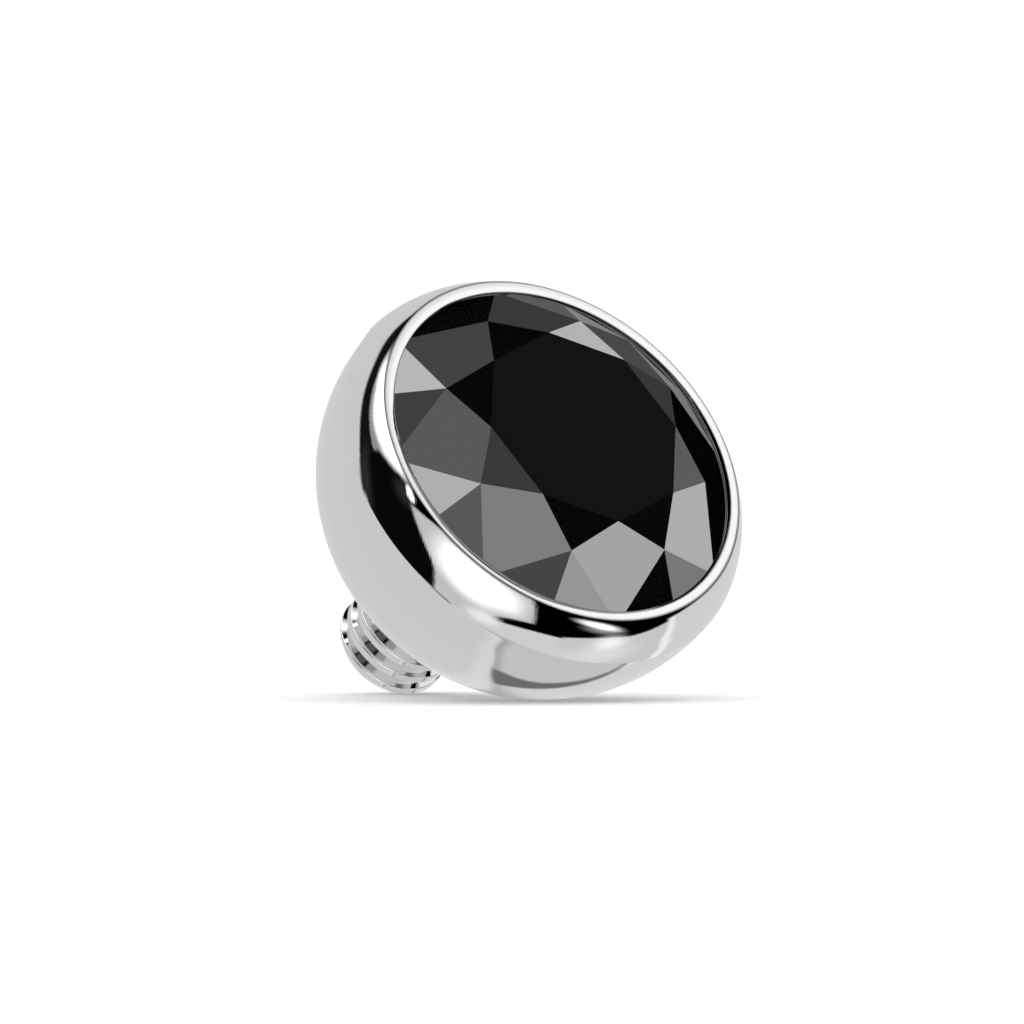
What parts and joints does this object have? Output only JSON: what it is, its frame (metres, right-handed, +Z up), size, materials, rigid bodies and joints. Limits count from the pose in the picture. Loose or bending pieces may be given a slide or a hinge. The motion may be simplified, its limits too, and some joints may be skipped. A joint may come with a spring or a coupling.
{
  "type": "threaded gem ball",
  "caption": "Flat-backed round steel head with a bezel-set faceted black stone and a threaded post that screws into a piercing stem.",
  "frame": {"origin": "centre of the bounding box, on the ground plane, with the part lying by itself on its dome and the tip of its post", "axes": "+Z up; the stone faces -Y and up by 33.6 degrees; the post points to +Y and down; +X is to the right of the stone seen from the front"},
  "size_m": [0.0046, 0.0046, 0.0043],
  "materials": {
    "polished_steel": "mirror-polished surgical steel",
    "black_stone": "polished opaque black faceted stone"
  },
  "bodies": {
    "root": {"bezel_setting": "polished_steel", "gem": "black_stone"}
  },
  "joints": []
}
